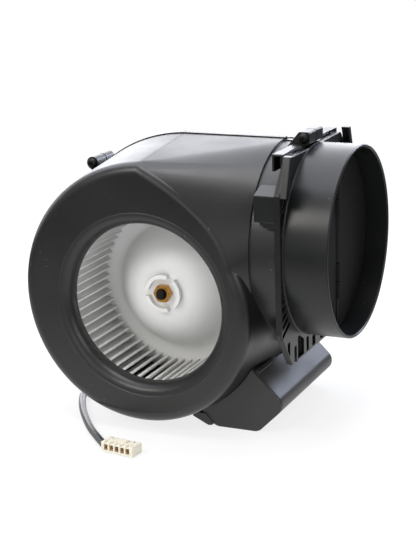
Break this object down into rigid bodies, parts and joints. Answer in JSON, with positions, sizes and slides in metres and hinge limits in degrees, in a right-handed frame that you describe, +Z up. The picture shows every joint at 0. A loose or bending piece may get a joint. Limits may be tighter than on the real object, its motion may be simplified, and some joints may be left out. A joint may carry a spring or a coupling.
{
  "type": "centrifugal blower unit",
  "caption": "Cooker hood blower: black scroll casing with a bladed white wheel on its inner motor, round outlet collar with non-return flaps, electrics box and lead.",
  "frame": {"origin": "middle of the unit's box, at the level of the floor it stands on, with the free lead left out", "axes": "+X to the outlet, +Y from the front inlet into the casing along the fan axis, +Z up"},
  "size_m": [0.2769, 0.2304, 0.2315],
  "materials": {
    "black_plastic": "matt moulded polypropylene",
    "white_plastic": "satin moulded polypropylene",
    "ivory_plastic": "moulded nylon",
    "board": "coated board",
    "rubber": "moulded rubber",
    "cable_sheath": "extruded sheath",
    "steel": "zinc plated",
    "dark_steel": "blackened",
    "brass": "plain",
    "copper": "enamelled wire"
  },
  "bodies": {
    "casing": {"front_casing": "black_plastic", "rear_casing": "black_plastic", "casing_screw_left": "dark_steel", "casing_screw_neck_top": "dark_steel", "casing_screw_neck_low": "dark_steel", "outlet_collar": "black_plastic", "flap_spindle": "steel", "box_housing": "black_plastic", "box_cover": "black_plastic", "capacitor": "ivory_plastic", "terminal_board": "board", "cable_gland": "rubber", "supply_cable": "cable_sheath", "connector_body": "ivory_plastic", "contact_1": "brass", "contact_2": "brass", "contact_3": "brass", "contact_4": "brass", "contact_5": "brass", "stator_core": "steel", "winding_front": "copper", "winding_rear": "copper", "bearing_front": "steel", "bearing_rear": "steel", "end_shield_front": "steel", "end_shield_rear": "steel", "motor_bracket": "steel", "damper_1": "rubber", "damper_2": "rubber", "damper_3": "rubber", "damper_screw_1": "steel", "damper_screw_2": "steel", "damper_screw_3": "steel", "motor_bolt_1": "steel", "motor_bolt_2": "steel", "motor_bolt_3": "steel"},
    "rotor": {"fan_wheel": "white_plastic", "hub_nut": "brass", "motor_shaft": "steel", "rotor_core": "steel"},
    "flap_front": {"flap_front": "black_plastic"},
    "flap_rear": {"flap_rear": "black_plastic"}
  },
  "joints": [
    {"name": "wheel_spin", "type": "hinge", "parent": "casing", "child": "rotor", "pos_m": [-0.0179, 0, 0.10321], "axis": [0, 1, 0], "continuous": true},
    {"name": "flap_front_swing", "type": "hinge", "parent": "casing", "child": "flap_front", "pos_m": [0.1101, -0.00415, 0.14521], "axis": [0, 0, 1], "range_deg": [0, 70], "stiffness_Nm_per_rad": 0.002},
    {"name": "flap_rear_swing", "type": "hinge", "parent": "casing", "child": "flap_rear", "pos_m": [0.1101, -0.00415, 0.14521], "axis": [0, 0, -1], "range_deg": [0, 70], "stiffness_Nm_per_rad": 0.002}
  ]
}
